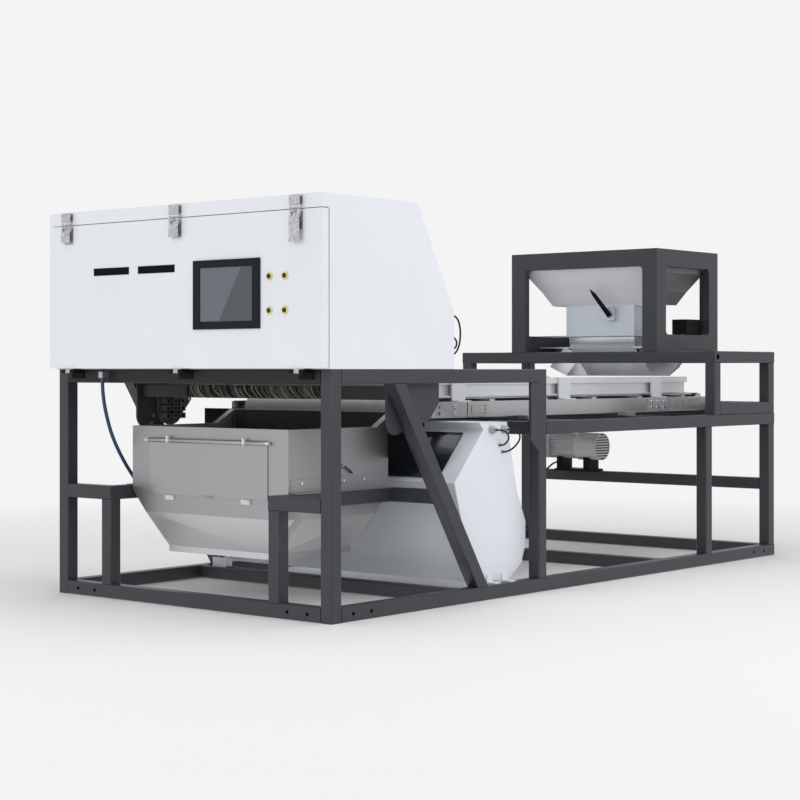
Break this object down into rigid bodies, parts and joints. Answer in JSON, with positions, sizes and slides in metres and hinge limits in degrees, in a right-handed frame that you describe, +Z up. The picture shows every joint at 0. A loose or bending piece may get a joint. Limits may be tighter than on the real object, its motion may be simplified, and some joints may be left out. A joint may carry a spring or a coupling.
{
  "type": "belt optical colour sorter",
  "caption": "Belt-type optical colour sorter: tube frame with a white camera cabinet and touch panel in front, a flat belt, an air valve bank, a discharge hopper and a feed funnel at the rear.",
  "frame": {"origin": "on the floor under the middle of the machine's bounding box", "axes": "+X to the right of someone who faces the cabinet door from the front, -Y out of the cabinet door, +Y towards the feed hopper, +Z up"},
  "size_m": [1.64, 3.635, 1.69],
  "materials": {
    "frame_paint": "fine-textured anthracite powder coat, satin",
    "cabinet_paint": "smooth cool-white powder coat, semi-gloss",
    "box_paint": "smooth white powder coat, semi-gloss",
    "black_paint": "black powder coat, matt",
    "stainless_sheet": "brushed stainless sheet, straight grain",
    "conveyor_steel": "plain sheet steel, fine brushed",
    "zinc_steel": "bright zinc plated",
    "roller_steel": "turned steel",
    "aluminium_section": "natural anodised",
    "motor_paint": "light grey machine enamel",
    "black_plastic": "black moulded plastic, fine grain",
    "bezel_plastic": "dark slate moulded plastic, satin",
    "screen_glass": "display glass, switched off",
    "window_tint": "dark tinted pane, polished",
    "brass_ring": "polished brass",
    "button_cap": "dark smoked plastic",
    "belt_rubber": "dark green-black belt cover, matt",
    "mount_rubber": "black rubber, matt",
    "hose_blue": "dark blue polyurethane hose, satin",
    "cable_sheath": "black cable sheath, matt"
  },
  "bodies": {
    "machine": {"frame_posts": "frame_paint", "bottom_rails": "frame_paint", "top_rails": "frame_paint", "hopper_carrier": "frame_paint", "feed_frame": "frame_paint", "hopper_frame": "frame_paint", "side_plates": "frame_paint", "cabinet_shell": "cabinet_paint", "door_hinges": "black_paint", "latch_keepers": "zinc_steel", "camera_bar": "aluminium_section", "cameras": "black_plastic", "lamp_bars": "aluminium_section", "control_units": "zinc_steel", "cable_glands": "black_plastic", "metal_fittings": "zinc_steel", "valve_bank": "aluminium_section", "nozzle_bar": "aluminium_section", "cable_carrier": "black_plastic", "discharge_hopper": "stainless_sheet", "guard_plate": "black_paint", "hinge_rod": "aluminium_section", "lower_box": "box_paint", "window_glass": "window_tint", "conveyor_beams": "conveyor_steel", "beam_plates": "zinc_steel", "belt_skirts": "aluminium_section", "slider_bed": "conveyor_steel", "conveyor_belt": "belt_rubber", "feeder_mounts": "mount_rubber", "feeder_drive": "black_paint", "funnel": "stainless_sheet", "throat_housing": "stainless_sheet", "motor_body": "motor_paint", "motor_base": "black_paint", "drive_belt": "belt_rubber", "frame_bolts": "zinc_steel", "air_hose": "hose_blue", "box_cables": "cable_sheath", "cabinet_cables": "cable_sheath", "motor_cable": "cable_sheath"},
    "door": {"front_door": "cabinet_paint", "touch_bezel": "bezel_plastic", "touch_screen": "screen_glass", "slot_plates": "black_plastic", "button_rings": "brass_ring", "door_fittings": "zinc_steel"},
    "button_upper_left_body": {"button_upper_left": "button_cap"},
    "button_upper_right_body": {"button_upper_right": "button_cap"},
    "button_lower_left_body": {"button_lower_left": "button_cap"},
    "button_lower_right_body": {"button_lower_right": "button_cap"},
    "latch_left_body": {"latch_left": "zinc_steel"},
    "latch_middle_body": {"latch_middle": "zinc_steel"},
    "latch_right_body": {"latch_right": "zinc_steel"},
    "inspection_door_body": {"inspection_door": "stainless_sheet"},
    "head_roller_body": {"head_roller": "roller_steel"},
    "tail_roller_body": {"tail_roller": "roller_steel"},
    "motor_rotor_body": {"motor_rotor": "roller_steel"},
    "feeder_pan_body": {"feeder_pan": "stainless_sheet"},
    "gate_lever_body": {"gate_lever": "black_paint"}
  },
  "joints": [
    {"name": "door_hinge", "type": "hinge", "parent": "machine", "child": "door", "pos_m": [0, -1.801, 0.989], "axis": [1, 0, 0], "range_deg": [0, 100]},
    {"name": "latch_left_pivot", "type": "hinge", "parent": "door", "child": "latch_left_body", "pos_m": [-0.688, -1.809, 1.611], "axis": [1, 0, 0], "range_deg": [-120, 0]},
    {"name": "latch_middle_pivot", "type": "hinge", "parent": "door", "child": "latch_middle_body", "pos_m": [0, -1.809, 1.611], "axis": [1, 0, 0], "range_deg": [-120, 0]},
    {"name": "latch_right_pivot", "type": "hinge", "parent": "door", "child": "latch_right_body", "pos_m": [0.688, -1.809, 1.611], "axis": [1, 0, 0], "range_deg": [-120, 0]},
    {"name": "button_upper_left_press", "type": "slide", "parent": "door", "child": "button_upper_left_body", "axis": [0, 1, 0], "range_m": [0, 0.003], "stiffness_N_per_m": 400},
    {"name": "button_upper_right_press", "type": "slide", "parent": "door", "child": "button_upper_right_body", "axis": [0, 1, 0], "range_m": [0, 0.003], "stiffness_N_per_m": 400},
    {"name": "button_lower_left_press", "type": "slide", "parent": "door", "child": "button_lower_left_body", "axis": [0, 1, 0], "range_m": [0, 0.003], "stiffness_N_per_m": 400},
    {"name": "button_lower_right_press", "type": "slide", "parent": "door", "child": "button_lower_right_body", "axis": [0, 1, 0], "range_m": [0, 0.003], "stiffness_N_per_m": 400},
    {"name": "inspection_door_hinge", "type": "hinge", "parent": "machine", "child": "inspection_door_body", "pos_m": [0, -1.633, 0.693], "axis": [1, 0, 0], "range_deg": [-100, 0]},
    {"name": "tail_roller_turn", "type": "hinge", "parent": "machine", "child": "tail_roller_body", "pos_m": [0, 1.675, 0.824], "axis": [1, 0, 0], "continuous": true},
    {"name": "head_roller_turn", "type": "hinge", "parent": "machine", "child": "head_roller_body", "pos_m": [0, -0.914, 0.824], "axis": [1, 0, 0], "continuous": true},
    {"name": "motor_rotor_turn", "type": "hinge", "parent": "machine", "child": "motor_rotor_body", "pos_m": [0, 1.733, 0.557], "axis": [1, 0, 0], "continuous": true},
    {"name": "feeder_shake", "type": "slide", "parent": "machine", "child": "feeder_pan_body", "axis": [0, 1, 0], "range_m": [-0.002, 0.002], "stiffness_N_per_m": 40000},
    {"name": "gate_turn", "type": "hinge", "parent": "machine", "child": "gate_lever_body", "pos_m": [0.084, -1.745, 1.298], "axis": [0, 1, 0], "range_deg": [-35, 20]}
  ],
  "couplings": [
    {"joint": "head_roller_turn", "follows": "tail_roller_turn", "ratio": 1},
    {"joint": "motor_rotor_turn", "follows": "tail_roller_turn", "ratio": 1}
  ]
}
